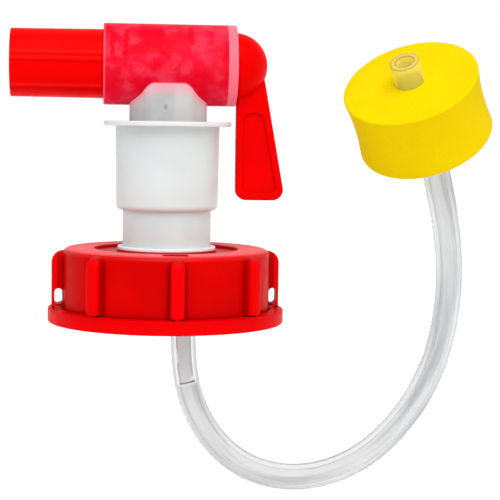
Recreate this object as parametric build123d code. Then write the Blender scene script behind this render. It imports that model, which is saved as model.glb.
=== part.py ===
from build123d import *
import os
from math import cos, pi, radians, sin, tan

# Vented tap for a jerrycan, in millimetres.
# Z runs up the tap's neck, and z = 0 is the plane where the can's rim meets the gasket.
# X runs along the barrel: the spout points to -X and the lever hangs at +X.

# Clearances
turning_gap = 0.1
loose_gap = 0.3
seat_gap = 0.05
axial_gap = 0.15
lever_gap = 0.3

# How far a cut runs past the face it opens, and how near two sizes count as one
spare = 1.0
near = 0.01

# Screw cap with its tamper ring
cap_height = 22.2
cap_bore_r = 30.0
cap_wall = 1.4
seat_inset = 0.5
seat_drop = 0.4
cap_top_wall = 2.0
cap_edge_r = 1.8
rim_rise = 1.0
rim_width = 9.4
boss_wall = 1.5
boss_drop = 0.4
rib_count = 8
rib_turn = 3.9
rib_reach = 3.35
rib_width = 4.1
rib_drop = 0.7
rib_corner_r = 3.6
rib_edge_r = 1.3
seal_hole_width = 2.4
seal_hole_height = 4.7
seal_hole_rise = 0.8
seal_hole_gap = 0.1
seal_holes_apart = 4
seal_hole_first = 2
tamper_reach = 1.1
tamper_height = 4.1
tamper_gap = 0.4
tamper_wall = 1.3
tamper_lap = 2.2
tamper_slot = 0.5
bridge_width = 1.4
bridge_depth = 0.9
bridge_inset = 0.1
bridge_root = 0.2
mark_length = 7.4
mark_width = 5.2
mark_depth = 0.4

# Gasket and neck adaptor
gasket_t = 2.0
gasket_gap = 0.3
gasket_width = 5.15
flange_t = 2.0
flange_gap = 0.4
stem_r = 13.4
stem_wall = 2.0
spigot_wall = 1.6
spigot_drop = 3.0
stem_groove = 0.3
retainer_reach = 1.5
retainer_t = 1.0

# Tap body
sleeve_gap_above_cap = 11.8
sleeve_length = 25.3
sleeve_top_wall = 2.2
sleeve_bottom_wall = 1.9
sleeve_corner_r = 1.5
stem_end_gap = 0.4
ceiling_t = 1.5
collar_inset = 1.15
collar_t = 1.4
neck_side = 11.6
neck_flat = 11.0
neck_chamfer_x = 5.5
neck_chamfer_y = 6.0
neck_corner_r = 4.0
neck_wall = 2.6
barrel_rise = 18.4
barrel_r = 12.2
barrel_wall = 1.75
barrel_left = -19.5
barrel_right = 20.4
edge_r = 0.4
o_ring_section = 1.8
o_ring_squeeze = 0.1
o_ring_groove_width = 2.2

# Waterway and air way
port_x = -3.5
port_r = 4.8
vent_x = 5.5
vent_pipe_wall = 0.95
vent_socket_wall = 1.6
vent_socket_depth = 4.5

# Key: spout, plug, hub and lever in one moulding
spout_length = 27.6
spout_taper = 0.15
spout_wall = 1.7
plug_end_wall = 2.85
plug_end_t = 3.5
plug_relief = 0.3
seal_rib_width = 1.1
seal_rib_gap = 1.3
port_rib_gap = 4.0
vent_rib_gap = 1.45
air_groove_width = 3.0
air_groove_depth = 1.3
retaining_inset = 5.4
retaining_width = 1.4
retaining_depth = 0.7
hub_step = 0.35
hub_inset = 0.4
lever_t = 4.6
lever_top_reach = 8.7
lever_top_drop = 3.7
lever_foot_reach = 15.55
lever_length = 40.55
lever_corner_r = 3.3
lever_edge_r = 0.7
panel_margin = 2.2
panel_depth = 0.8
panel_drop = 15.0
panel_corner_r = 1.6
panel_arch = 0.9
panel_edge_r = 0.35
stop_width_deg = 16.0
stop_length = 1.8
stop_height = 1.1
stop_play_deg = 2.0
quarter_turn = 90.0
sector_step_deg = 15.0

# Vent hose and float
hose_r = 4.0
hose_bore_r = 2.5
pipe_turn_share = 0.78
float_r = 18.5
float_t = 19.0
float_waist = 0.6
float_edge_r = 0.6
stub_length = 6.5
arc_share = 0.45

# Cap, gasket and adaptor: what follows from the sizes above
flange_bottom = gasket_t
flange_top = flange_bottom + flange_t
cap_inner_top = flange_top + axial_gap
cap_floor_z = cap_inner_top + cap_top_wall
cap_top = cap_floor_z + rim_rise
cap_bottom = cap_top - cap_height
cap_seat_r = cap_bore_r - seat_inset
cap_skirt_r = cap_bore_r + cap_wall
rim_inner_r = cap_skirt_r - rim_width
gasket_r = cap_seat_r - gasket_gap
gasket_bore_r = gasket_r - gasket_width
spigot_r = gasket_bore_r - seat_gap
boss_top = cap_top - boss_drop
rib_r = cap_skirt_r + rib_reach
rib_top = cap_top - rib_drop
tamper_r = rib_r + tamper_reach
tamper_bore_r = cap_skirt_r + tamper_gap
tamper_top = cap_bottom + tamper_height
skirt_bottom = tamper_top - tamper_lap
rib_bottom = tamper_top + tamper_slot
cap_hole_r = stem_r + loose_gap
retainer_r = stem_r + retainer_reach
retainer_bottom = boss_top + axial_gap

# Tap body: what follows
sleeve_bore_r = stem_r + turning_gap
sleeve_top_r = sleeve_bore_r + sleeve_top_wall
sleeve_bottom_r = sleeve_bore_r + sleeve_bottom_wall
sleeve_bottom = cap_top + sleeve_gap_above_cap
sleeve_top = sleeve_bottom + sleeve_length
sleeve_ceiling = sleeve_top - ceiling_t
stem_top = sleeve_ceiling - stem_end_gap
o_ring_z = (sleeve_bottom + sleeve_ceiling) / 2
collar_r = barrel_right - collar_inset
neck_bore_r = neck_flat - neck_wall
axis_z = sleeve_top + barrel_rise
port_floor_z = axis_z - barrel_r
barrel_bore_r = barrel_r - barrel_wall
vent_pipe_r = hose_bore_r - seat_gap
vent_pipe_bore_r = vent_pipe_r - vent_pipe_wall
vent_hole_r = vent_pipe_bore_r

# Key: what follows
plug_r = barrel_bore_r - turning_gap
plug_body_r = plug_r - plug_relief
plug_bore_r = plug_body_r - plug_end_wall
plug_floor_x = barrel_right - plug_end_t
spout_tip_x = barrel_left - spout_length
spout_tip_r = plug_r - spout_taper
key_bore_r = spout_tip_r - spout_wall
hub_r = plug_r - hub_step
hub_x = barrel_right - hub_inset
retaining_x = barrel_right - retaining_inset
seal_rib_xs = [
    barrel_left + seal_rib_width * 1.5 + seal_rib_gap,
    port_x - port_r - port_rib_gap - seal_rib_width / 2,
    (port_x + port_r + vent_x - vent_hole_r) / 2,
    vent_x + vent_hole_r + vent_rib_gap + seal_rib_width / 2,
]
air_groove_start = vent_x - vent_hole_r
lever_inner_x = barrel_right + lever_gap
lever_top_x = barrel_right + lever_top_reach
lever_foot_x = barrel_right + lever_foot_reach
lever_lean = (lever_foot_x - lever_top_x) / (lever_length - lever_top_drop)
stop_low = (quarter_turn - stop_width_deg) / 2
stop_high = stop_low + stop_width_deg
stop_face_r = barrel_bore_r - stop_height
stop_x = barrel_right - stop_length

# The hose's route, from its end inside the cap to its end above the float
hose_route = [
    (vent_x, 0.0, -12.0),
    (vent_x, 0.0, -30.0),
    (11.0, -1.0, -48.0),
    (24.0, -3.5, -60.5),
    (42.0, -7.0, -63.5),
    (60.0, -12.0, -56.0),
    (73.0, -17.5, -40.5),
    (79.5, -23.0, -24.0),
    (81.5, -28.5, -7.0),
    (80.0, -35.5, 11.0),
    (74.0, -43.0, 32.5),
    (60.5, -62.5, 62.5),
]


def upright(radius, low, high, x=0.0):
    """A cylinder that stands on the X axis, from the height low to the height high."""
    return Pos(x, 0, (low + high) / 2) * Cylinder(radius, high - low)


def ring(outer_r, inner_r, low, high):
    """An upright ring about the neck axis, from the height low to the height high."""
    return upright(outer_r, low, high) - upright(inner_r, low - spare, high + spare)


def along_barrel(radius, start, end):
    """A cylinder on the barrel's axis, from x = start to x = end."""
    turned = Rot(0, 90, 0) * Cylinder(radius, end - start)
    return Pos((start + end) / 2, 0, axis_z) * turned


def barrel_sector(outer_r, inner_r, start, end, low_deg, high_deg):
    """A part of a ring on the barrel's axis, between two angles counted from -Z towards -Y."""
    steps = round((high_deg - low_deg) / sector_step_deg) + 1
    angles = [radians(low_deg + (high_deg - low_deg) * i / steps) for i in range(steps + 1)]
    reach = 2 * outer_r
    corners = [(0.0, 0.0)] + [(-reach * sin(a), -reach * cos(a)) for a in angles]
    profile = Plane.YZ * make_face(Polyline(*corners, close=True))
    wedge = Pos(start, 0, axis_z) * extrude(profile, end - start)
    whole = along_barrel(outer_r, start, end) - along_barrel(inner_r, start - spare, end + spare)
    return whole & wedge


def circles(shape, radius):
    """The circular edges of one radius."""
    return [e for e in shape.edges().filter_by(GeomType.CIRCLE) if abs(e.radius - radius) < near]


def write(name, shape):
    """Write one piece to its own file."""
    solids = shape.solids()
    whole = solids[0] if len(solids) == 1 else Compound(children=list(solids))
    export_step(whole, f"parts/{name}.step")
    print(name, len(solids), "solid, volume", round(sum(s.volume for s in solids), 1))


def cap_rib():
    """One of the cap's ribs, pointing to +X, with a rounded top corner and rounded long edges."""
    root_r = cap_bore_r + cap_wall / 2
    fin = Box(rib_r - root_r, rib_width, rib_top - rib_bottom)
    fin = Pos((rib_r + root_r) / 2, 0, (rib_top + rib_bottom) / 2) * fin
    outer_top = fin.edges().filter_by(Axis.Y).sort_by(lambda e: e.center().X + e.center().Z)[-1]
    fin = fillet(outer_top, rib_corner_r)
    long_edges = [e for e in fin.edges() if e.center().X > rib_r - rib_corner_r]
    long_edges = [e for e in long_edges if abs(e.center().Y) > near and e.center().Z > rib_bottom + near]
    return fillet(long_edges, rib_edge_r)


def screw_cap():
    """Red cap: skirt, rim round a sunk floor, eight pierced ribs and the tamper ring on its bridges."""
    skirt = ring(cap_skirt_r, cap_bore_r, skirt_bottom, cap_top)
    top = ring(cap_skirt_r, cap_hole_r, cap_inner_top, cap_top)
    seat = ring(cap_bore_r + cap_wall / 2, cap_seat_r, -seat_drop, cap_top - cap_top_wall)
    body = skirt + top + seat
    top_edge = [e for e in circles(body, cap_skirt_r) if e.center().Z > cap_top - near]
    body = fillet(top_edge, cap_edge_r)
    boss_r = cap_hole_r + boss_wall
    body -= ring(rim_inner_r, boss_r, cap_floor_z, cap_top + spare)
    body -= upright((boss_r + rim_inner_r) / 2, boss_top, cap_top + spare)

    hole_z = rib_bottom + seal_hole_rise + seal_hole_height / 2
    hole = Plane.XZ * SlotOverall(seal_hole_height, seal_hole_width, rotation=90)
    hole = extrude(hole, rib_width, both=True)
    hole = Pos(cap_skirt_r + seal_hole_width / 2 + seal_hole_gap, 0, hole_z) * hole
    bridge = Box(bridge_depth, bridge_width, tamper_slot + 2 * bridge_root)
    bridge = Pos(rib_r - bridge_inset - bridge_depth / 2, 0, tamper_top + tamper_slot / 2) * bridge
    fin = cap_rib()
    for i in range(rib_count):
        turn = Rot(0, 0, rib_turn - 90 + 360 * i / rib_count)
        pierced = i % seal_holes_apart == seal_hole_first
        body += turn * (fin - hole if pierced else fin) + turn * bridge

    band = upright(tamper_r, cap_bottom, tamper_top)
    band = fillet(circles(band, tamper_r), edge_r)
    band -= upright(tamper_bore_r, cap_bottom - spare, tamper_top + spare)
    body += band - upright(tamper_r - tamper_wall, cap_bottom - spare, tamper_top - tamper_wall)

    mark_y = -(rim_inner_r + cap_skirt_r) / 2
    mark = Pos(0, mark_y, cap_top) * Box(mark_length, mark_width, 2 * mark_depth)
    return body - Rot(0, 0, rib_turn) * mark


def sealing_gasket():
    """Flat soft ring that lies under the adaptor's flange, on the can's rim."""
    return ring(gasket_r, gasket_bore_r, 0, gasket_t)


def neck_adaptor():
    """White moulding: the stem that carries the tap, its flange and the spigot in the can's mouth."""
    stem = ring(stem_r, stem_r - stem_wall, flange_bottom, stem_top)
    plate = ring(cap_seat_r - flange_gap, stem_r - stem_wall, flange_bottom, flange_top)
    spigot = ring(spigot_r, spigot_r - spigot_wall, flange_bottom - spigot_drop, flange_bottom + flange_t / 2)
    body = stem + plate + spigot
    body -= ring(stem_r + spare, stem_r - stem_groove, retainer_bottom, retainer_bottom + retainer_t)
    groove_floor = sleeve_bore_r - o_ring_section + o_ring_squeeze
    half = o_ring_groove_width / 2
    return body - ring(stem_r + spare, groove_floor, o_ring_z - half, o_ring_z + half)


def retaining_ring():
    """White ring snapped into the stem's groove above the cap, so that the cap turns but can't come off."""
    body = ring(retainer_r, stem_r - stem_groove, retainer_bottom, retainer_bottom + retainer_t)
    return fillet(circles(body, retainer_r), retainer_t / 4)


def socket_o_ring():
    """Rubber ring that seals the stem in the tap body's socket, drawn as squeezed between the two."""
    section_r = (o_ring_section - o_ring_squeeze) / 2
    return Pos(0, 0, o_ring_z) * Torus(sleeve_bore_r - section_r, section_r)


def neck_section():
    """The neck's outline from above: eight sides with rounded corners."""
    flat_x, flat_y = neck_side - neck_chamfer_x, neck_flat - neck_chamfer_y
    quarter = [(neck_side, flat_y), (flat_x, neck_flat)]
    half = quarter + [(-x, y) for x, y in reversed(quarter)]
    outline = make_face(Polyline(*half, *[(-x, -y) for x, y in half], close=True))
    return fillet(outline.vertices(), neck_corner_r)


def tap_body():
    """Natural white moulding: socket sleeve, collar, flat-sided neck and the barrel across its top."""
    outline = Polyline(
        (0, sleeve_bottom),
        (sleeve_bottom_r, sleeve_bottom),
        (sleeve_top_r, sleeve_top),
        (0, sleeve_top),
        close=True,
    )
    sleeve = revolve(Plane.XZ * make_face(outline), Axis.Z, 360)
    sleeve = fillet(circles(sleeve, sleeve_bottom_r), sleeve_corner_r)
    collar = upright(collar_r, sleeve_top, sleeve_top + collar_t)
    collar = fillet(circles(collar, collar_r), edge_r)
    neck = extrude(Pos(0, 0, sleeve_top) * neck_section(), axis_z - sleeve_top)
    barrel = along_barrel(barrel_r, barrel_left, barrel_right)
    barrel = fillet(circles(barrel, barrel_r), edge_r)
    body = sleeve + collar + neck + barrel

    body -= upright(sleeve_bore_r, sleeve_bottom - spare, sleeve_ceiling)
    body -= upright(neck_bore_r, sleeve_ceiling - spare, port_floor_z)
    pipe_fit_r = vent_pipe_r + seat_gap
    socket_bottom = port_floor_z - vent_socket_depth
    body += upright(pipe_fit_r + vent_socket_wall, socket_bottom, axis_z, vent_x)
    body -= upright(pipe_fit_r, socket_bottom - spare, port_floor_z, vent_x)
    body -= upright(port_r, port_floor_z - spare, axis_z, port_x)
    body -= upright(vent_hole_r, port_floor_z - spare, axis_z, vent_x)
    body -= along_barrel(barrel_bore_r, barrel_left - spare, barrel_right + spare)

    inside_wall_r = (barrel_r + barrel_bore_r) / 2
    bead_end = retaining_x + retaining_width
    bead = along_barrel(inside_wall_r, retaining_x, bead_end)
    bead -= along_barrel(plug_r - retaining_depth + turning_gap, retaining_x - spare, bead_end + spare)
    lug = barrel_sector(inside_wall_r, stop_face_r, stop_x, barrel_right - edge_r, stop_low, stop_high)
    return body + bead + lug


def lever_foot(inset):
    """The lower outer corner of the lever's side outline moved inwards by inset, as (x, height)."""
    slant = (1 + lever_lean**2) ** 0.5
    return lever_foot_x - inset * (lever_lean + slant), axis_z - lever_length + inset


def key_profile():
    """Half the section of the spout, plug and hub, with the seal ribs and the retaining groove."""
    groove_low = retaining_x - axial_gap
    groove_high = retaining_x + retaining_width + axial_gap
    land_start = groove_low - seal_rib_width
    steps = [(spout_tip_x, 0.0), (spout_tip_x, spout_tip_r), (barrel_left, plug_r)]
    steps += [(barrel_left + seal_rib_width, plug_r), (barrel_left + seal_rib_width, plug_body_r)]
    for x in seal_rib_xs:
        low, high = x - seal_rib_width / 2, x + seal_rib_width / 2
        steps += [(low, plug_body_r), (low, plug_r), (high, plug_r), (high, plug_body_r)]
    steps += [(land_start, plug_body_r), (land_start, plug_r), (groove_low, plug_r)]
    steps += [(groove_low, plug_r - retaining_depth), (groove_high, plug_r - retaining_depth)]
    steps += [(groove_high, plug_r), (hub_x, plug_r), (hub_x, hub_r)]
    half_way = hub_r * sin(radians(45))
    pole = (hub_x + hub_r, 0.0)
    dome = ThreePointArc((hub_x, hub_r), (hub_x + half_way, half_way), pole)
    return Polyline(*steps) + dome + Line(pole, (spout_tip_x, 0.0))


def turned_on_barrel(outline):
    """A solid turned about the barrel's axis from an (x, radius) outline."""
    section = Plane(origin=(0, 0, axis_z), x_dir=(1, 0, 0), z_dir=(0, -1, 0)) * make_face(outline)
    return revolve(section, Axis((0, 0, axis_z), (1, 0, 0)), 360)


def lever():
    """The flat lever under the hub, with a sunk panel on each face."""
    low_x, low_z = lever_foot(0)
    outline = Polyline(
        (lever_inner_x, axis_z),
        (lever_inner_x, low_z),
        (low_x, low_z),
        (lever_top_x, axis_z - lever_top_drop),
        (hub_x + hub_r / 2, axis_z),
        close=True,
    )
    blade = make_face(outline)
    blade = fillet([v for v in blade.vertices() if v.Y < low_z + near], lever_corner_r)
    blade = extrude(Plane.XZ * blade, lever_t / 2, both=True)
    faces = [e for e in blade.edges() if abs(abs(e.center().Y) - lever_t / 2) < near]
    blade = fillet([e for e in faces if e.center().Z < axis_z - barrel_r], lever_edge_r)

    low_x, low_z = lever_foot(panel_margin)
    left = lever_inner_x + panel_margin
    top_z = axis_z - panel_drop
    right = low_x - lever_lean * (top_z - low_z)
    arch = ThreePointArc((left, top_z), ((left + right) / 2, top_z + panel_arch), (right, top_z))
    panel = make_face(Polyline((right, top_z), (low_x, low_z), (left, low_z), (left, top_z)) + arch)
    panel = extrude(Plane.XZ * fillet(panel.vertices(), panel_corner_r), panel_depth)
    blade -= Pos(0, lever_t / 2, 0) * panel
    blade -= Pos(0, panel_depth - lever_t / 2, 0) * panel
    inside = [e for e in blade.edges() if left - near < e.center().X < lever_foot_x - panel_margin]
    inside = [e for e in inside if low_z - near < e.center().Z < top_z + panel_arch + near]
    inside = [e for e in inside if abs(abs(e.center().Y) - lever_t / 2) < near]
    return fillet(inside, panel_edge_r)


def tap_key():
    """Red moulding: the spout, the hollow plug in the barrel, the domed hub and the lever under it."""
    key = turned_on_barrel(key_profile()) + lever()
    wide_end = air_groove_start - seal_rib_width
    key -= along_barrel(key_bore_r, spout_tip_x - spare, wide_end)
    key -= along_barrel(plug_bore_r, wide_end - spare, plug_floor_x)
    side_port = Rot(90, 0, 0) * Cylinder(port_r, barrel_r)
    key -= Pos(port_x, barrel_r / 2, axis_z) * side_port

    groove_end = hub_x + hub_r
    groove = Box(groove_end - air_groove_start, air_groove_depth * 2, air_groove_width)
    key -= Pos((air_groove_start + groove_end) / 2, plug_body_r, axis_z) * groove
    slot_low = stop_low - quarter_turn - stop_play_deg
    slot_high = stop_high + stop_play_deg
    return key - barrel_sector(
        barrel_r,
        stop_face_r - loose_gap,
        stop_x - loose_gap,
        barrel_right,
        slot_low,
        slot_high,
    )


def corner_radii(route):
    """The radius of each corner: as large as its two runs allow."""
    points = [Vector(*p) for p in route]
    radii = []
    for a, b, c in zip(points, points[1:], points[2:]):
        turn = (b - a).get_angle(c - b)
        shorter = min((b - a).length, (c - b).length)
        radii.append(arc_share * shorter / tan(radians(turn / 2)))
    return radii


def hose_edges():
    """The hose's centreline as straight runs and tangent arcs, in order."""
    radii = corner_radii(hose_route)
    print("hose arc radii", [round(r, 1) for r in radii])
    return FilletPolyline(*hose_route, radius=radii)


def tube(path, outer_r, inner_r):
    """A round tube along a path."""
    start = Plane(origin=path @ 0, z_dir=path % 0)
    outer = sweep(start * Circle(outer_r), path=path)
    inner = sweep(start * Circle(inner_r), path=path)
    return outer - inner


def vent_pipe():
    """Air pipe from the barrel's underside to its nipple, which follows the hose into its first bend."""
    first, second, third = [Vector(*p) for p in hose_route[:3]]
    radius = corner_radii(hose_route)[0]
    full_turn = (second - first).get_angle(third - second)
    bend_start = second + Vector(0, 0, radius * tan(radians(full_turn / 2)))
    side = Vector(third.X - second.X, third.Y - second.Y, 0).normalized() * radius
    turns = [radians(full_turn * pipe_turn_share * share) for share in (0.5, 1.0)]
    middle, end = [bend_start + side * (1 - cos(a)) - Vector(0, 0, radius * sin(a)) for a in turns]
    bend = Edge.make_three_point_arc(bend_start, middle, end)
    straight = Edge.make_line((vent_x, 0, port_floor_z), bend_start)
    return tube(Wire([straight, bend]), vent_pipe_r, vent_pipe_bore_r)


def float_axis():
    """The hose's direction through the float, and the middle of the float's top face."""
    end = Vector(*hose_route[-1])
    direction = (end - Vector(*hose_route[-2])).normalized()
    return direction, end - direction * stub_length


def hose_float():
    """Yellow foam float: a slightly waisted disc that is pushed over the hose."""
    direction, top = float_axis()
    half = float_t / 2
    side = ThreePointArc((float_r, -half), (float_r - float_waist, 0), (float_r, half))
    bore_r = hose_r + seat_gap
    rest = Polyline((float_r, half), (bore_r, half), (bore_r, -half), (float_r, -half))
    face = make_face(side + rest)
    disc = revolve(Plane.XZ * face, Axis.Z, 360)
    disc = fillet(circles(disc, float_r), float_edge_r)
    return Plane(origin=top - direction * half, z_dir=direction) * disc


os.makedirs("parts", exist_ok=True)
write("screw_cap", screw_cap())
write("sealing_gasket", sealing_gasket())
write("neck_adaptor", neck_adaptor())
write("retaining_ring", retaining_ring())
write("socket_o_ring", socket_o_ring())
write("tap_body", tap_body())
write("tap_key", tap_key())
centreline = hose_edges()
vent_hose = tube(centreline, hose_r, hose_bore_r)
straight_volume = pi * (hose_r**2 - hose_bore_r**2) * centreline.length
print("hose volume", round(vent_hose.volume, 1), "section times length", round(straight_volume, 1))
print("hose length", round(centreline.length, 1))
write("vent_pipe", vent_pipe())
write("vent_hose", vent_hose)
write("hose_float", hose_float())
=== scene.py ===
import bpy
import numpy as np
from mathutils import Matrix, Vector


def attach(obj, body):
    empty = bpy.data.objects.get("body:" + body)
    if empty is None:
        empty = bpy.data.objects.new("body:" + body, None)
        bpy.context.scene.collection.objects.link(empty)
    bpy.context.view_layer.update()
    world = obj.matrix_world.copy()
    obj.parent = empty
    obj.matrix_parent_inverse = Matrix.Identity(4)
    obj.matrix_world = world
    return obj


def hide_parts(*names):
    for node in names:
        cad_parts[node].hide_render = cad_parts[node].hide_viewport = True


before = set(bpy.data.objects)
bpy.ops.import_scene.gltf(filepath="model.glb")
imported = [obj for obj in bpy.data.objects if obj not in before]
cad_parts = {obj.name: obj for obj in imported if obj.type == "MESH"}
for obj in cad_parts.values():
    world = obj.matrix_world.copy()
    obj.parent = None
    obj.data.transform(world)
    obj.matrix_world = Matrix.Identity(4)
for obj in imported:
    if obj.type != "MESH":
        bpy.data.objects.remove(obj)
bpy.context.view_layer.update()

# SCREW CAP
# Red polyethylene cap for the jerrycan's neck, moulded with eight ribs and a tamper ring.
# It turns freely under the tap, and a coarse thread inside it pulls it down on the can.

CAP_BORE = 0.0300
CAP_SKIRT = 0.0314
CAP_TOP = 0.00715
TAMPER_TOP = -0.01095
RIB_COUNT = 8
RIB_WIDTH = 0.0041
RIB_TURN = 0.068
RIB_SHADE_REACH = 0.0017
MARK_LENGTH = 0.0074
MARK_INSIDE = -0.0225
MARK_OUTSIDE = -0.0285
MARK_EDGE = 0.0003
THREAD_PITCH = 0.0060
THREAD_TURNS = 1.4
THREAD_STEPS = 240
THREAD_LOW = -0.0125
THREAD_DEPTH = 0.0013
THREAD_FOOT = 0.0034
THREAD_CREST = 0.0014
THREAD_ROOT = 0.0002
THREAD_RUN_OUT = 0.08
THREAD_TIP = 0.03
RED_GRAIN = 0.00006
RED_SHEEN = 0.02
TOP_SHEEN = 0.12
CREVICE_REACH = 0.0024
RED_CREVICE_PAINTED_SHADE = (0.20, 0.0, 0.0, 1.0)
CAP_DEEP = (0.53, 0.0, 0.0, 1.0)
CAP_BRIGHT = (0.62, 0.0, 0.0, 1.0)
CAP_RIB_PAINTED_LIGHT = (0.71, 0.0, 0.001, 1.0)
CAP_SHADE = (0.22, 0.0, 0.0, 1.0)
CAP_PAINTED_SHEEN = (1.0, 0.050, 0.065, 1.0)


def node(owner, kind, settings, sockets):
    """Adds a shader node to a material or the world. Each of the sockets is set to a value, or is
    linked to another node's output."""
    made = owner.node_tree.nodes.new(kind)
    for key, value in settings.items():
        setattr(made, key, value)
    for key, value in sockets.items():
        if isinstance(value, bpy.types.NodeSocket):
            owner.node_tree.links.new(value, made.inputs[key])
        else:
            made.inputs[key].default_value = value
    return made


def link(owner, output, socket):
    """Joins one node's output to another's socket."""
    owner.node_tree.links.new(output, socket)


def blank(name, **constants):
    """A material with one shader, whose constant sockets are set directly. An underscore in a name
    stands for a space."""
    material = bpy.data.materials.new(name)
    material.use_nodes = True
    shader = material.node_tree.nodes["Principled BSDF"]
    for key, value in constants.items():
        shader.inputs[key.replace("_", " ")].default_value = value
    return material, shader


def place_of(material):
    """The object's own coordinates, which a pose carries along with its body."""
    return node(material, "ShaderNodeTexCoord", {}, {}).outputs["Object"]


def split(material, vector):
    """The X, Y and Z of a vector."""
    return node(material, "ShaderNodeSeparateXYZ", {}, {"Vector": vector}).outputs


def length_of(material, **sides):
    """The length of the vector with these sides, such as X and Y for the distance from the Z axis."""
    vector = node(material, "ShaderNodeCombineXYZ", {}, sides).outputs[0]
    return node(material, "ShaderNodeVectorMath", {"operation": "LENGTH"}, {0: vector}).outputs["Value"]


def maths(owner, operation, first, second=0.0):
    """One step of arithmetic on one value or two."""
    return node(owner, "ShaderNodeMath", {"operation": operation}, {0: first, 1: second}).outputs[0]


def times(material, *values):
    """The product of the values."""
    product = values[0]
    for value in values[1:]:
        product = maths(material, "MULTIPLY", product, value)
    return product


def noise(material, place, scale, detail=2.0, roughness=0.5):
    """Cloudy noise: one value from 0 to 1 at each place."""
    sockets = {"Vector": place, "Scale": scale, "Detail": detail, "Roughness": roughness}
    return node(material, "ShaderNodeTexNoise", {}, sockets).outputs["Fac"]


def ramp(material, value, low, high, to_low=0.0, to_high=1.0):
    """Smooth step: to_low where value is at low or before it, to_high where it is at high or past it.
    Low may be the larger of the two."""
    settings = {"interpolation_type": "SMOOTHSTEP"}
    sockets = {"Value": value, "From Min": low, "From Max": high, "To Min": to_low, "To Max": to_high}
    return node(material, "ShaderNodeMapRange", settings, sockets).outputs["Result"]


def band(material, value, middle, half, soft):
    """1 where value is within half of middle, fading to 0 over soft on both sides."""
    away = maths(material, "ABSOLUTE", maths(material, "SUBTRACT", value, middle))
    return ramp(material, away, half, half + soft, 1.0, 0.0)


def mixed(material, share, first, second):
    """The colour at this share of the way from the first to the second."""
    sockets = {0: share, 6: first, 7: second}
    return node(material, "ShaderNodeMix", {"data_type": "RGBA"}, sockets).outputs[2]


def washed(material, tone, colour, where, strength):
    """A tone with a wash of another colour over it, as strong as strength where the mask is 1."""
    return mixed(material, times(material, where, strength), tone, colour)


def grain(material, shader, place, scale, height):
    """Fine bump of a moulded surface: cloudy noise used as a height in metres."""
    fine = noise(material, place, scale, detail=3.0)
    sockets = {"Height": fine, "Distance": height, "Strength": 0.35}
    bump = node(material, "ShaderNodeBump", {}, sockets)
    link(material, bump.outputs["Normal"], shader.inputs["Normal"])


def dress(part, material):
    """Gives a CAD node one material in place of its own."""
    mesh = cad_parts[part].data
    mesh.materials.clear()
    mesh.materials.append(material)


def satin_red(name, deep, bright, rough, crevice_shade):
    """Satin red polyethylene, given back as material, shader, X Y Z of its place and tone. Two reds
    drift into each other by a cloudy noise, and the gloss drifts about rough by a finer one. The
    tone is painted darker, as painted shade, by up to crevice_shade where another face stands
    within CREVICE_REACH."""
    material, shader = blank(name, Specular_IOR_Level=RED_SHEEN, IOR=1.5)
    place = place_of(material)
    drift = ramp(material, noise(material, place, scale=45.0, detail=3.0), 0.32, 0.68)
    tone = mixed(material, drift, deep, bright)
    gloss = noise(material, place, scale=260.0)
    gloss = ramp(material, gloss, 0.3, 0.7, rough - 0.05, rough + 0.06)
    link(material, gloss, shader.inputs["Roughness"])
    grain(material, shader, place, scale=900.0, height=RED_GRAIN)
    # Painted shade in crevices, where another face stands within CREVICE_REACH.
    reach = {"Distance": CREVICE_REACH}
    openness = node(material, "ShaderNodeAmbientOcclusion", {"samples": 8}, reach).outputs["AO"]
    painted_crevice_shade = ramp(material, openness, 0.40, 0.97, crevice_shade, 0.0)
    return material, shader, split(material, place), mixed(material, painted_crevice_shade, tone, RED_CREVICE_PAINTED_SHADE)


def grid_mesh(name, points, closed_ends):
    """Mesh over a grid of points: rows follow each other, and each row is a closed loop."""
    rows, around = points.shape[:2]
    index = np.arange(rows * around).reshape(rows, around)
    turned = np.roll(index, -1, axis=1)
    quads = np.stack([index[:-1], turned[:-1], turned[1:], index[1:]], axis=-1).reshape(-1, 4)
    faces = quads.tolist()
    if closed_ends:
        faces += [index[0, ::-1].tolist(), index[-1].tolist()]
    mesh = bpy.data.meshes.new(name)
    mesh.from_pydata(points.reshape(-1, 3).tolist(), [], faces)
    mesh.shade_smooth()
    mesh.update()
    return mesh


def piece(name, mesh, material, body):
    """Puts a mesh in the scene as a piece that rides on a body."""
    mesh.materials.append(material)
    made = bpy.data.objects.new(name, mesh)
    bpy.context.scene.collection.objects.link(made)
    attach(made, body)
    return made


def thread_points():
    """The ridge of the thread: a trapezoid section carried round a helix. The radius is the bore's
    less the section's inward offset, which fades in and out at the ends of the helix. The height
    climbs one pitch a turn, plus the section's upward offset."""
    turn = np.linspace(0.0, THREAD_TURNS * 2 * np.pi, THREAD_STEPS)
    share = turn / turn[-1]
    fade = np.clip(np.minimum(share, 1 - share) / THREAD_RUN_OUT, THREAD_TIP, 1.0)
    half_foot, half_crest = THREAD_FOOT / 2, THREAD_CREST / 2
    inward = np.array([-THREAD_ROOT, 0.0, THREAD_DEPTH, THREAD_DEPTH, 0.0, -THREAD_ROOT])
    upward = np.array([half_foot, half_foot, half_crest, -half_crest, -half_foot, -half_foot])
    radius = CAP_BORE - np.where(inward > 0, inward * fade[:, None], inward)
    height = THREAD_LOW + THREAD_PITCH * turn[:, None] / (2 * np.pi) + upward + half_foot
    side = turn[:, None] + np.zeros(len(inward))
    return np.stack([radius * np.cos(side), radius * np.sin(side), height], axis=-1)


cap_red, shader, xyz, tone = satin_red(
    "cap_red_polyethylene", CAP_DEEP, CAP_BRIGHT, rough=0.34, crevice_shade=0.30
)
height = xyz["Z"]
from_axis = length_of(cap_red, X=xyz["X"], Y=xyz["Y"])
turned = {"Vector": place_of(cap_red), "Angle": -RIB_TURN}
turned = node(cap_red, "ShaderNodeVectorRotate", {"rotation_type": "Z_AXIS"}, turned).outputs[0]
turned = split(cap_red, turned)

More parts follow.
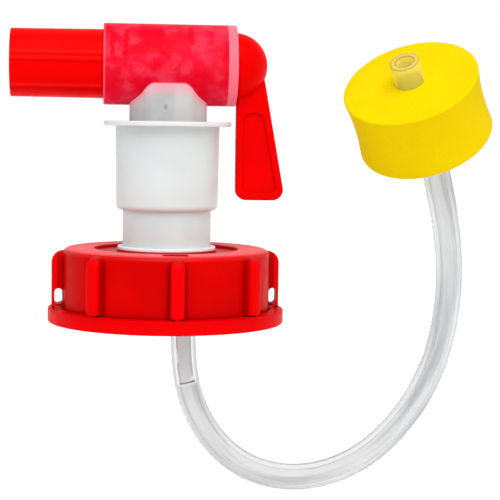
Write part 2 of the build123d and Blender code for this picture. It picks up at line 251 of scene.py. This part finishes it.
# Soft shade on the skirt beside each rib.
from_rib = maths(cap_red, "ARCTAN2", turned["Y"], turned["X"])
from_rib = maths(cap_red, "PINGPONG", from_rib, np.pi / RIB_COUNT)
from_rib = times(cap_red, from_rib, CAP_SKIRT)
beside_rib = ramp(cap_red, from_rib, RIB_WIDTH / 2, RIB_WIDTH / 2 + RIB_SHADE_REACH, 1.0, 0.0)
on_skirt = band(cap_red, from_axis, CAP_SKIRT, half=0.0002, soft=0.0001)
below_top = ramp(cap_red, height, CAP_TOP - 0.0014, CAP_TOP - 0.0034)
beside_rib = times(cap_red, beside_rib, on_skirt, below_top)
tone = washed(cap_red, tone, CAP_SHADE, beside_rib, strength=0.62)

# Painted light on the ribs and the tamper ring, painted shade at the ribs' feet, and a faint painted
# shade about the top of the tamper ring.
painted_light_on_rib = ramp(cap_red, from_axis, CAP_SKIRT + 0.0001, CAP_SKIRT + 0.0009)
tone = mixed(cap_red, painted_light_on_rib, tone, CAP_RIB_PAINTED_LIGHT)
rib_foot_painted_shade = band(cap_red, from_axis, CAP_SKIRT + 0.0010, half=0.0005, soft=0.0004)
over_ring = ramp(cap_red, height, TAMPER_TOP + 0.0002, TAMPER_TOP + 0.0008)
tone = washed(cap_red, tone, CAP_SHADE, times(cap_red, rib_foot_painted_shade, over_ring), strength=0.55)
ring_top_painted_shade = band(cap_red, height, TAMPER_TOP, half=0.0003, soft=0.0020)
tone = washed(cap_red, tone, CAP_SHADE, ring_top_painted_shade, strength=0.12)

# A painted pink sheen on the raised rim's top, and painted shade in the sunk mark on it, which is left
# blank.
painted_sheen = ramp(cap_red, height, CAP_TOP - 0.0006, CAP_TOP - 0.0001)
tone = mixed(cap_red, painted_sheen, tone, CAP_PAINTED_SHEEN)
on_mark = times(
    cap_red,
    band(cap_red, turned["X"], 0.0, half=MARK_LENGTH / 2, soft=MARK_EDGE),
    ramp(cap_red, turned["Y"], MARK_INSIDE, MARK_INSIDE - MARK_EDGE),
    ramp(cap_red, turned["Y"], MARK_OUTSIDE, MARK_OUTSIDE + MARK_EDGE),
    ramp(cap_red, height, CAP_TOP - 0.0014, CAP_TOP - 0.0008),
)
tone = washed(cap_red, tone, CAP_SHADE, on_mark, strength=0.75)
link(cap_red, tone, shader.inputs["Base Color"])
polish = ramp(cap_red, height, CAP_TOP - 0.0017, CAP_TOP - 0.0010, RED_SHEEN, TOP_SHEEN)
polish = times(cap_red, polish, ramp(cap_red, on_mark, 0.0, 1.0, 1.0, 0.2))
link(cap_red, polish, shader.inputs["Specular IOR Level"])
dress("screw_cap", cap_red)

thread_mesh = grid_mesh("cap_thread", thread_points(), closed_ends=True)
piece("cap_thread", thread_mesh, cap_red, "root")

# GASKET
# Flat ring of grey foam sheet between the cap's flange and the rim of the can.
# It is punched from the sheet and lies loose round the adaptor's spigot.

GASKET_GRAIN = 0.00015
GASKET_DARK = (0.20, 0.20, 0.21, 1.0)
GASKET_PALE = (0.34, 0.34, 0.35, 1.0)

gasket_foam, shader = blank("gasket_foam", Roughness=0.85, Specular_IOR_Level=0.3)
place = place_of(gasket_foam)
cells = noise(gasket_foam, place, scale=2200.0, detail=3.0)
tone = mixed(gasket_foam, cells, GASKET_DARK, GASKET_PALE)
link(gasket_foam, tone, shader.inputs["Base Color"])
grain(gasket_foam, shader, place, scale=2600.0, height=GASKET_GRAIN)
dress("sealing_gasket", gasket_foam)

# NECK ADAPTOR AND ITS RINGS
# White polyethylene tube with a flange, on which the tap's socket is pushed and the cap turns.
# A thin white ring snaps into its groove above the cap and keeps the two together, and a
# black rubber ring in its upper groove seals the socket.

MILK_DEPTH = 0.0024
MILK_SHEEN = 0.15
MILK_GRAIN = 0.00005
STEM_PALE = (0.63, 0.735, 0.74, 1.0)
STEM_GREY = (0.57, 0.675, 0.68, 1.0)
RING_WHITE = (0.84, 0.84, 0.84, 1.0)
RUBBER_BLACK = (0.018, 0.018, 0.018, 1.0)
RUBBER_DUSTY = (0.045, 0.045, 0.045, 1.0)


def milky(name, rough):
    """Natural polyethylene, given back as material, shader and place: milky, with a little light let
    through to MILK_DEPTH."""
    material, shader = blank(
        name,
        Roughness=rough,
        IOR=1.5,
        Specular_IOR_Level=MILK_SHEEN,
        Subsurface_Weight=0.35,
        Subsurface_Radius=(1.0, 1.0, 1.0),
        Subsurface_Scale=MILK_DEPTH,
    )
    return material, shader, place_of(material)


stem_white, shader, place = milky("stem_polyethylene", rough=0.38)
cloud = ramp(stem_white, noise(stem_white, place, scale=70.0, detail=3.0), 0.3, 0.7)
tone = mixed(stem_white, cloud, STEM_GREY, STEM_PALE)
link(stem_white, tone, shader.inputs["Base Color"])
grain(stem_white, shader, place, scale=700.0, height=MILK_GRAIN)
dress("neck_adaptor", stem_white)

ring_white, shader, place = milky("ring_polyethylene", rough=0.36)
shader.inputs["Base Color"].default_value = RING_WHITE
grain(ring_white, shader, place, scale=700.0, height=MILK_GRAIN)
dress("retaining_ring", ring_white)

seal_rubber, shader = blank("seal_rubber", Roughness=0.45)
dust = noise(seal_rubber, place_of(seal_rubber), scale=500.0, detail=3.0)
tone = mixed(seal_rubber, ramp(seal_rubber, dust, 0.4, 0.7), RUBBER_BLACK, RUBBER_DUSTY)
link(seal_rubber, tone, shader.inputs["Base Color"])
dress("socket_o_ring", seal_rubber)

# TAP BODY
# One moulding in natural polyethylene: socket sleeve, thin collar, flat-sided neck and barrel.
# The wall is thin enough for the red plug in the barrel to shine through it as pink.

BARREL_AXIS = 0.06265
BARREL_SKIN = 0.0122
BARREL_LEFT = -0.0195
BARREL_RIGHT = 0.0204
COLLAR_BOTTOM = 0.04425
COLLAR_TOP = 0.04565
GATE_SPOT = (-0.0010, 0.0499)
NECK_GLOW_REACH = 0.0030
OPEN_RIM = 0.0030
RAGGED_REACH = (0.0030, 0.0030, 0.0030)
# Where the plug's ribs touch the wall: middle and half width along the barrel, middle above its
# axis and half height, and how deep the red is there. The clearing is a paler patch.
TOUCHES = (
    (-0.01695, 0.0006, 0.0060, 0.0030, 0.9),
    (-0.01285, 0.0006, 0.0060, 0.0032, 0.9),
    (-0.0054, 0.0034, 0.0070, 0.0036, 0.75),
    (0.0061, 0.0006, 0.0088, 0.0024, 0.8),
    (0.0026, 0.0004, -0.0040, 0.0040, 0.35),
    (-0.0166, 0.0004, -0.0060, 0.0030, 0.35),
)
CLEARING = (0.0158, 0.0088)
BARREL_SHEEN = 0.02
SLEEVE_GREY = (0.59, 0.635, 0.635, 1.0)
SLEEVE_PALE = (0.625, 0.67, 0.67, 1.0)
COLLAR_WHITE = (0.64, 0.66, 0.66, 1.0)
NECK_GREY = (0.42, 0.43, 0.43, 1.0)
NECK_SMUDGE = (0.48, 0.49, 0.49, 1.0)
NECK_LIGHT = (0.56, 0.555, 0.56, 1.0)
NECK_SPOT = (0.27, 0.28, 0.28, 1.0)
NECK_PINK = (0.80, 0.32, 0.40, 1.0)
SHINE_PINK = (0.73, 0.006, 0.030, 1.0)
SHINE_SOFT = (0.75, 0.030, 0.070, 1.0)
SHINE_DEEP = (0.70, 0.000, 0.012, 1.0)
SHINE_PALE = (0.86, 0.17, 0.23, 1.0)


def vector_maths(material, operation, first, second):
    """One step of arithmetic on two vectors. Its outputs are Vector and, for a dot product, Value."""
    sockets = {0: first, 1: second}
    return node(material, "ShaderNodeVectorMath", {"operation": operation}, sockets).outputs


body_white, shader, place = milky("tap_body_polyethylene", rough=0.36)
xyz = split(body_white, place)
x, y, z = xyz["X"], xyz["Y"], xyz["Z"]
from_axis = length_of(body_white, Y=y, Z=maths(body_white, "SUBTRACT", z, BARREL_AXIS))

# Sleeve and collar.
cloud = ramp(body_white, noise(body_white, place, scale=75.0, detail=3.0), 0.3, 0.7)
tone = mixed(body_white, cloud, SLEEVE_GREY, SLEEVE_PALE)
on_collar = band(body_white, z, (COLLAR_BOTTOM + COLLAR_TOP) / 2, half=0.0007, soft=0.0002)
tone = mixed(body_white, on_collar, tone, COLLAR_WHITE)

# Neck: smudged grey, lighter on the right of its front, with the spot that the mould's gate left,
# and pink close to the barrel.
smudge = ramp(body_white, noise(body_white, place, scale=190.0, detail=4.0), 0.35, 0.75)
neck_tone = mixed(body_white, smudge, NECK_GREY, NECK_SMUDGE)
in_front = ramp(body_white, y, 0.0, -0.0020)
right_half = times(body_white, ramp(body_white, x, 0.0009, 0.0023), in_front)
neck_tone = washed(body_white, neck_tone, NECK_LIGHT, right_half, strength=0.55)
gate_x = band(body_white, x, GATE_SPOT[0], half=0.0001, soft=0.0008)
gate_z = band(body_white, z, GATE_SPOT[1], half=0.0003, soft=0.0009)
on_gate = times(body_white, gate_x, gate_z, in_front)
neck_tone = washed(body_white, neck_tone, NECK_SPOT, on_gate, strength=0.75)
above_collar = ramp(body_white, z, COLLAR_TOP, COLLAR_TOP + 0.0004)
tone = mixed(body_white, above_collar, tone, neck_tone)
near_barrel = ramp(body_white, from_axis, BARREL_SKIN, BARREL_SKIN + NECK_GLOW_REACH, 1.0, 0.0)
tone = washed(body_white, tone, NECK_PINK, near_barrel, strength=0.85)

# Barrel: mottled pink, deep red with ragged edges where the plug touches, pale at both ends.
mottle = noise(body_white, place, scale=230.0, detail=4.0, roughness=0.6)
pink = mixed(body_white, ramp(body_white, mottle, 0.36, 0.62), SHINE_SOFT, SHINE_PINK)
blotch = ramp(body_white, noise(body_white, place, scale=95.0), 0.46, 0.60)
pink = washed(body_white, pink, SHINE_DEEP, blotch, strength=0.8)
wander = {"Vector": place, "Scale": 260.0, "Detail": 3.0}
wander = node(body_white, "ShaderNodeTexNoise", {}, wander).outputs["Color"]
wander = vector_maths(body_white, "SUBTRACT", wander, (0.5, 0.5, 0.5))["Vector"]
wander = vector_maths(body_white, "MULTIPLY", wander, RAGGED_REACH)["Vector"]
ragged = split(body_white, vector_maths(body_white, "ADD", place, wander)["Vector"])
for middle, half_width, rise, half_height, strength in TOUCHES:
    across = band(body_white, ragged["X"], middle, half_width, soft=0.0004)
    upward = band(body_white, ragged["Z"], BARREL_AXIS + rise, half_height, soft=0.0012)
    pink = washed(body_white, pink, SHINE_DEEP, times(body_white, across, upward), strength)
across = band(body_white, ragged["X"], CLEARING[0], half=0.0020, soft=0.0008)
upward = band(body_white, ragged["Z"], BARREL_AXIS + CLEARING[1], half=0.0015, soft=0.0015)
pink = washed(body_white, pink, SHINE_SOFT, times(body_white, across, upward), strength=0.5)
open_rim = BARREL_RIGHT - OPEN_RIM
open_rim = ramp(body_white, x, open_rim, open_rim + 0.0004)
pink = mixed(body_white, open_rim, pink, SHINE_PALE)
left_rim = ramp(body_white, x, BARREL_LEFT + 0.0002, BARREL_LEFT + 0.0008, 1.0, 0.0)
pink = washed(body_white, pink, SHINE_PALE, left_rim, strength=0.4)

on_barrel = ramp(body_white, from_axis, BARREL_SKIN + 0.00005, BARREL_SKIN + 0.00035, 1.0, 0.0)
link(body_white, mixed(body_white, on_barrel, tone, pink), shader.inputs["Base Color"])
sheen = ramp(body_white, on_barrel, 0.0, 1.0, MILK_SHEEN, BARREL_SHEEN)
link(body_white, sheen, shader.inputs["Specular IOR Level"])
grain(body_white, shader, place, scale=700.0, height=MILK_GRAIN)
dress("tap_body", body_white)

# TAP KEY
# One red moulding: the spout, the hollow plug in the barrel, the domed hub and the lever.
# The plug is pushed in from the spout's side until its groove snaps over the barrel's bead.

SPOUT_SKIN = 0.0103
SPOUT_LINES = (0.0021, 0.0002, -0.0078)
GLINT_RISE = 0.0011
KEY_DEEP = (0.69, 0.0, 0.0, 1.0)
KEY_BRIGHT = (0.77, 0.0, 0.0, 1.0)
KEY_PAINTED_SHADE_LINE = (0.46, 0.0, 0.0, 1.0)
KEY_PAINTED_GLINT = (0.92, 0.006, 0.006, 1.0)

key_red, shader, xyz, tone = satin_red(
    "key_red_polyethylene", KEY_DEEP, KEY_BRIGHT, rough=0.36, crevice_shade=0.18
)
lift = maths(key_red, "SUBTRACT", xyz["Z"], BARREL_AXIS)
from_axis = length_of(key_red, Y=xyz["Y"], Z=lift)
left_of_barrel = ramp(key_red, xyz["X"], BARREL_LEFT + 0.0010, BARREL_LEFT - 0.0010)
outer_skin = ramp(key_red, from_axis, SPOUT_SKIN - 0.0009, SPOUT_SKIN - 0.0006)
on_spout = times(key_red, left_of_barrel, outer_skin)

# Fine lines along the spout, each a line of painted shade with a painted highlight above it.
for rise in SPOUT_LINES:
    painted_shade_line = band(key_red, lift, rise, half=0.0001, soft=0.0007)
    tone = washed(key_red, tone, KEY_PAINTED_SHADE_LINE, times(key_red, painted_shade_line, on_spout), strength=0.5)
    painted_glint = band(key_red, lift, rise + GLINT_RISE, half=0.0001, soft=0.0006)
    tone = washed(key_red, tone, KEY_PAINTED_GLINT, times(key_red, painted_glint, on_spout), strength=0.7)
link(key_red, tone, shader.inputs["Base Color"])
dress("tap_key", key_red)

# AIR PIPE
# Slim natural polyethylene pipe from the barrel down through the stem to the hose.
# It is pushed into a socket under the barrel, and its lower end is the hose's nipple.

PIPE_END = (0.00694, -0.00026, -0.03433)
PIPE_LEAN = np.radians(13.5)
PIPE_GRAIN = 0.00004
PIPE_GREY = (0.97, 1.0, 1.0, 1.0)
PIPE_END_PAINTED_SHADE = (0.10, 0.10, 0.10, 1.0)

pipe_white, shader, place = milky("pipe_polyethylene", rough=0.4)
outward = (np.sin(PIPE_LEAN), 0.0, -np.cos(PIPE_LEAN))
past_end = vector_maths(pipe_white, "SUBTRACT", place, PIPE_END)["Vector"]
past_end = vector_maths(pipe_white, "DOT_PRODUCT", past_end, outward)["Value"]
# Painted shade: a dark band round the pipe's lower end.
painted_end_shade = ramp(pipe_white, past_end, -0.0007, -0.0005)
link(pipe_white, mixed(pipe_white, painted_end_shade, PIPE_GREY, PIPE_END_PAINTED_SHADE), shader.inputs["Base Color"])
grain(pipe_white, shader, place, scale=900.0, height=PIPE_GRAIN)
dress("vent_pipe", pipe_white)

# AIR HOSE
# Clear soft vinyl hose, pushed over the pipe's nipple, that brings air up behind the liquid.
# Its own set keeps it in the wide loop that carries the float.

HOSE_OUTER = 0.0040
HOSE_BORE = 0.0025
HOSE_STEPS = 24
HOSE_ROUTE = (
    (0.0055, 0.0000, -0.0120),
    (0.0050, 0.0001, -0.0298),
    (0.0110, -0.0010, -0.0480),
    (0.0240, -0.0035, -0.0605),
    (0.0420, -0.0070, -0.0635),
    (0.0600, -0.0120, -0.0560),
    (0.0730, -0.0175, -0.0405),
    (0.0795, -0.0230, -0.0240),
    (0.0815, -0.0285, -0.0070),
    (0.0800, -0.0355, 0.0110),
    (0.0740, -0.0430, 0.0325),
    (0.0700, -0.0488, 0.0415),
    (0.0605, -0.0625, 0.0625),
)
NIPPLE_RUN = 0.0224
STUB_START = 0.2225
STREAK_STRETCH = (0.06, 1.0, 1.0)
VINYL_CLEAR = (0.80, 0.805, 0.81, 1.0)
VINYL_CLOUD = (0.50, 0.505, 0.51, 1.0)
VINYL_BORE = (0.90, 0.905, 0.91, 1.0)
VINYL_EDGE_PAINTED_SHADE = (0.30, 0.305, 0.31, 1.0)
VINYL_TIGHT = (0.95, 0.955, 0.96, 1.0)
VINYL_GOLD = (0.92, 0.80, 0.10, 1.0)
VINYL_BORE_PAINTED_LIGHT = (1.0, 0.96, 0.52, 1.0)
VINYL_CUT = (0.60, 0.44, 0.03, 1.0)


def hose_line():
    """Points along the smooth spline whose control points are the hose's route."""
    curve = bpy.data.curves.new("hose_line", "CURVE")
    curve.dimensions = "3D"
    curve.resolution_u = HOSE_STEPS
    spline = curve.splines.new("NURBS")
    spline.points.add(len(HOSE_ROUTE) - 1)
    places = np.column_stack([np.array(HOSE_ROUTE), np.ones(len(HOSE_ROUTE))])
    spline.points.foreach_set("co", places.ravel())
    spline.order_u = 3
    spline.use_endpoint_u = True
    holder = bpy.data.objects.new("hose_line", curve)
    bpy.context.scene.collection.objects.link(holder)
    bpy.context.view_layer.update()
    drawn = bpy.data.meshes.new_from_object(holder)
    line = np.empty(len(drawn.vertices) * 3)
    drawn.vertices.foreach_get("co", line)
    bpy.data.objects.remove(holder)
    bpy.data.meshes.remove(drawn)
    return line.reshape(-1, 3)


def hose_points(line, outer, bore, around=48):
    """The hose's wall, as it lies and as it would be straightened out along X. A spoke is cosine of
    the angle times side plus sine times up. Each wall is one closed strip of rings: middle plus
    outer radius times spoke along the line, middle plus bore radius times spoke back along it,
    and the first ring again."""
    along = np.gradient(line, axis=0)
    along /= np.linalg.norm(along, axis=1)[:, None]
    side = np.cross(along, (0.0, 1.0, 0.0))
    side /= np.linalg.norm(side, axis=1)[:, None]
    up = np.cross(side, along)
    angle = np.linspace(0.0, 2 * np.pi, around, endpoint=False)[None, :, None]
    ring = np.cos(angle) * side[:, None] + np.sin(angle) * up[:, None]
    run = np.concatenate([[0.0], np.cumsum(np.linalg.norm(np.diff(line, axis=0), axis=1))])
    straight_line = np.stack([run, 0 * run, 0 * run], axis=-1)
    straight_ring = np.concatenate([0 * angle, np.cos(angle), np.sin(angle)], axis=-1)
    walls = []
    for middle, spoke in ((line, ring), (straight_line, straight_ring)):
        spoke = spoke + np.zeros((len(line), 1, 1))
        outside = middle[:, None] + outer * spoke
        inside = middle[::-1, None] + bore * spoke[::-1]
        walls.append(np.concatenate([outside, inside, outside[:1]]))
    return walls


hose_path = hose_line()
hose_run = np.linalg.norm(np.diff(hose_path, axis=0), axis=1).sum()
clear_vinyl, shader = blank("clear_vinyl", Roughness=0.12, IOR=1.06)
straight = {"attribute_name": "straightened"}
straight = node(clear_vinyl, "ShaderNodeAttribute", straight, {}).outputs["Vector"]
xyz = split(clear_vinyl, straight)
along = xyz["X"]
from_axis = length_of(clear_vinyl, Y=xyz["Y"], Z=xyz["Z"])

# Clear wall with long streaks, brighter bore, and the wall that is tight on the nipple.
stretched = vector_maths(clear_vinyl, "MULTIPLY", straight, STREAK_STRETCH)["Vector"]
streaks = ramp(clear_vinyl, noise(clear_vinyl, stretched, scale=420.0, detail=3.0), 0.40, 0.66)
tone = mixed(clear_vinyl, streaks, VINYL_CLEAR, VINYL_CLOUD)
in_bore = ramp(clear_vinyl, from_axis, HOSE_BORE + 0.0002, HOSE_BORE + 0.0006, 1.0, 0.0)
tone = mixed(clear_vinyl, in_bore, tone, VINYL_BORE)
over_pipe = ramp(clear_vinyl, along, NIPPLE_RUN, NIPPLE_RUN + 0.0006, 1.0, 0.0)
tone = washed(clear_vinyl, tone, VINYL_TIGHT, over_pipe, strength=0.9)

# Painted shade on the edges, where clear plastic is seen along its wall.
facing = node(clear_vinyl, "ShaderNodeLayerWeight", {}, {"Blend": 0.5}).outputs["Facing"]
painted_edge_shade = ramp(clear_vinyl, facing, 0.55, 0.90)
tone = washed(clear_vinyl, tone, VINYL_EDGE_PAINTED_SHADE, painted_edge_shade, strength=0.8)
painted_tight_edge_shade = times(clear_vinyl, over_pipe, ramp(clear_vinyl, facing, 0.22, 0.45))
tone = washed(clear_vinyl, tone, VINYL_EDGE_PAINTED_SHADE, painted_tight_edge_shade, strength=0.45)

# Yellowed stub above the float, with painted light in its bore, and the rims of its cut end.
on_stub = ramp(clear_vinyl, along, STUB_START, STUB_START + 0.0006)
tone = washed(clear_vinyl, tone, VINYL_GOLD, on_stub, strength=0.92)
tone = mixed(clear_vinyl, times(clear_vinyl, on_stub, in_bore), tone, VINYL_BORE_PAINTED_LIGHT)
at_cut = ramp(clear_vinyl, along, hose_run - 0.0004, hose_run - 0.0002)
tone = washed(clear_vinyl, tone, VINYL_CUT, at_cut, strength=0.35)
for rim_radius in (HOSE_BORE, HOSE_OUTER):
    on_rim = times(clear_vinyl, at_cut, band(clear_vinyl, from_axis, rim_radius, 0.0001, 0.0003))
    tone = washed(clear_vinyl, tone, VINYL_CUT, on_rim, strength=0.7)
link(clear_vinyl, tone, shader.inputs["Base Color"])
stub_skin = times(clear_vinyl, on_stub, ramp(clear_vinyl, in_bore, 0.0, 1.0, 1.0, 0.3))
clearness = ramp(clear_vinyl, stub_skin, 0.0, 1.0, 0.86, 0.45)
link(clear_vinyl, clearness, shader.inputs["Transmission Weight"])

hose_wall, straight_wall = hose_points(hose_path, HOSE_OUTER, HOSE_BORE)
hose_mesh = grid_mesh("air_hose", hose_wall, closed_ends=False)
straightened = hose_mesh.attributes.new("straightened", "FLOAT_VECTOR", "POINT")
straightened.data.foreach_set("vector", straight_wall.ravel())
air_hose = piece("air_hose", hose_mesh, clear_vinyl, "tap")
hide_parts("vent_hose")

# FLOAT
# Thick disc of yellow closed-cell foam, pushed over the hose a little short of its end.
# It keeps the hose's open end above the liquid in the can.

FLOAT_RADIUS = 0.0185
FLOAT_THICK = 0.0190
FLOAT_WAIST = 0.0006
FLOAT_EDGE = 0.0006
FLOAT_BORE = 0.00403
FLOAT_STUB = 0.0065
FACE_STEPS = 12
RIM_STEPS = 10
SIDE_STEPS = 16
FLOAT_GRAIN = 0.00012
FLOAT_GOLD = (0.76, 0.53, 0.0, 1.0)
FLOAT_YELLOW = (0.80, 0.59, 0.0, 1.0)
FLOAT_PORE = (0.70, 0.48, 0.0, 1.0)
FLOAT_SIDE_PAINTED_SHADE = (0.66, 0.42, 0.0, 1.0)


def float_points(around=160):
    """A disc turned about the hose. Its outline in radius and height runs over the top face, a
    rounded rim (a quarter circle of FLOAT_EDGE), the side, which a parabola draws in by
    FLOAT_WAIST, the lower rim and face, and back up the bore. A point is the float's middle plus
    radius times spoke plus height times the float's axis."""
    half = FLOAT_THICK / 2
    turn = np.linspace(0.0, np.pi / 2, RIM_STEPS)
    flat = np.linspace(FLOAT_BORE, FLOAT_RADIUS - FLOAT_EDGE, FACE_STEPS)
    level = np.full(len(flat) - 1, half)
    rim_r = FLOAT_RADIUS - FLOAT_EDGE + FLOAT_EDGE * np.sin(turn)
    rim_h = half - FLOAT_EDGE + FLOAT_EDGE * np.cos(turn)
    side_h = np.linspace(half - FLOAT_EDGE, FLOAT_EDGE - half, SIDE_STEPS)[1:-1]
    side_r = FLOAT_RADIUS - FLOAT_WAIST * (1 - (side_h / (half - FLOAT_EDGE)) ** 2)
    radius = np.concatenate([flat[:-1], rim_r, side_r, rim_r[::-1], flat[::-1][1:], flat[:1]])
    height = np.concatenate([level, rim_h, side_h, -rim_h[::-1], -level, [half]])
    angle = np.linspace(0.0, 2 * np.pi, around, endpoint=False)
    east = np.cross(float_up, (0.0, 0.0, 1.0))
    east /= np.linalg.norm(east)
    north = np.cross(float_up, east)
    spoke = np.cos(angle)[:, None] * east + np.sin(angle)[:, None] * north
    return float_middle + radius[:, None, None] * spoke + height[:, None, None] * float_up


hose_end = np.array(HOSE_ROUTE[-1])
float_up = hose_end - np.array(HOSE_ROUTE[-3])
float_up /= np.linalg.norm(float_up)
float_middle = hose_end - float_up * (FLOAT_STUB + FLOAT_THICK / 2)

float_foam, shader = blank("float_foam", Roughness=0.62, Specular_IOR_Level=0.02)
place = place_of(float_foam)
drift = ramp(float_foam, noise(float_foam, place, scale=60.0, detail=3.0), 0.25, 0.6)
tone = mixed(float_foam, drift, FLOAT_GOLD, FLOAT_YELLOW)
skin = ramp(float_foam, noise(float_foam, place, scale=2400.0), 0.28, 0.42)
tone = mixed(float_foam, skin, FLOAT_PORE, tone)
along = vector_maths(float_foam, "SUBTRACT", place, float_middle)["Vector"]
along = vector_maths(float_foam, "DOT_PRODUCT", along, float_up)["Value"]
# Painted shade: the float's side is darker than its faces.
painted_side_shade = band(float_foam, along, 0.0, half=FLOAT_THICK / 2 - 0.0008, soft=0.0006)
tone = washed(float_foam, tone, FLOAT_SIDE_PAINTED_SHADE, painted_side_shade, strength=0.3)
link(float_foam, tone, shader.inputs["Base Color"])
grain(float_foam, shader, place, scale=2000.0, height=FLOAT_GRAIN)

float_mesh = grid_mesh("foam_float", float_points(), closed_ends=False)
foam_float = piece("foam_float", float_mesh, float_foam, "tap")
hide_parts("hose_float")

# STUDIO
# Pale floor under the loop of the hose, white surroundings and two soft lamps.
# The camera stands where the photograph was taken from, and looks slightly down.

FLOOR_HEIGHT = -0.100
FLOOR_HALF = 6.0
FLOOR_PALE = (0.98, 0.98, 0.98, 1.0)
ROOM_GLOW = 0.62
CAMERA_TURN = -5.0
CAMERA_DIP = 4.76
CAMERA_ROLL = 0.9
CAMERA_AWAY = 0.473
FOCAL_PIXELS = 1550.0
PICTURE_SIDE = 500.0
SENSOR = 36.0
AIM_PLACE = (0.0, 0.0, CAP_TOP)
AIM_PIXEL = (166.4, 248.0)


def lamp(name, place, width, strength):
    """A lamp far away in the direction of place, as wide as width degrees."""
    light = bpy.data.lights.new(name, "SUN")
    light.angle = np.radians(width)
    light.energy = strength
    made = bpy.data.objects.new(name, light)
    made.rotation_euler = Vector(place).to_track_quat("Z", "Y").to_euler()
    bpy.context.scene.collection.objects.link(made)


floor_pale, shader = blank("floor_pale", Roughness=0.9, Base_Color=FLOOR_PALE)
corners = FLOOR_HALF * np.array([[-1, -1], [1, -1], [1, 1], [-1, 1]])
corners = np.column_stack([corners, np.full(4, FLOOR_HEIGHT)])
floor_mesh = bpy.data.meshes.new("floor")
floor_mesh.from_pydata(corners.tolist(), [], [(0, 1, 2, 3)])
floor_mesh.materials.append(floor_pale)
floor = bpy.data.objects.new("floor", floor_mesh)
bpy.context.scene.collection.objects.link(floor)

lamp("lamp_main", (0.0, -0.60, 0.76), width=60.0, strength=2.3)
lamp("lamp_right", (0.85, -0.40, 0.30), width=50.0, strength=0.28)

# The room looks white, also through the clear hose, and lights the tap a little less than that.
world = bpy.data.worlds.new("white_room")
world.use_nodes = True
room = world.node_tree.nodes["Background"]
room.inputs["Color"].default_value = (1.0, 1.0, 1.0, 1.0)
ray = node(world, "ShaderNodeLightPath", {}, {}).outputs
seen = maths(world, "MAXIMUM", ray["Is Camera Ray"], ray["Is Transmission Ray"])
bright = node(world, "ShaderNodeMapRange", {}, {"Value": seen, "To Min": ROOM_GLOW})
link(world, bright.outputs["Result"], room.inputs["Strength"])
bpy.context.scene.world = world
bpy.context.scene.view_settings.view_transform = "Standard"

# The camera is turned, dipped and rolled by its three angles, and stands so that the middle of
# the cap's top falls on AIM_PIXEL.
turn, dip, roll = np.radians([CAMERA_TURN, CAMERA_DIP, CAMERA_ROLL])
back = np.array([np.sin(turn) * np.cos(dip), -np.cos(turn) * np.cos(dip), np.sin(dip)])
level = np.array([-back[1], back[0], 0.0]) / np.hypot(back[0], back[1])
upright = np.cross(back, level)
right = np.cos(roll) * level + np.sin(roll) * upright
up = np.cos(roll) * upright - np.sin(roll) * level
aside = (AIM_PIXEL[0] - PICTURE_SIDE / 2) / FOCAL_PIXELS * CAMERA_AWAY
above = (PICTURE_SIDE / 2 - AIM_PIXEL[1]) / FOCAL_PIXELS * CAMERA_AWAY
eye = np.array(AIM_PLACE) - aside * right - above * up + CAMERA_AWAY * back

camera_data = bpy.data.cameras.new("camera")
camera_data.sensor_width = SENSOR
camera_data.lens = FOCAL_PIXELS / PICTURE_SIDE * SENSOR
camera_data.clip_start = 0.01
camera = bpy.data.objects.new("camera", camera_data)
stance = np.eye(4)
stance[:3, :3] = np.column_stack([right, up, back])
camera.matrix_world = Matrix(stance.tolist())
camera.location = eye
bpy.context.scene.collection.objects.link(camera)
bpy.context.scene.camera = camera
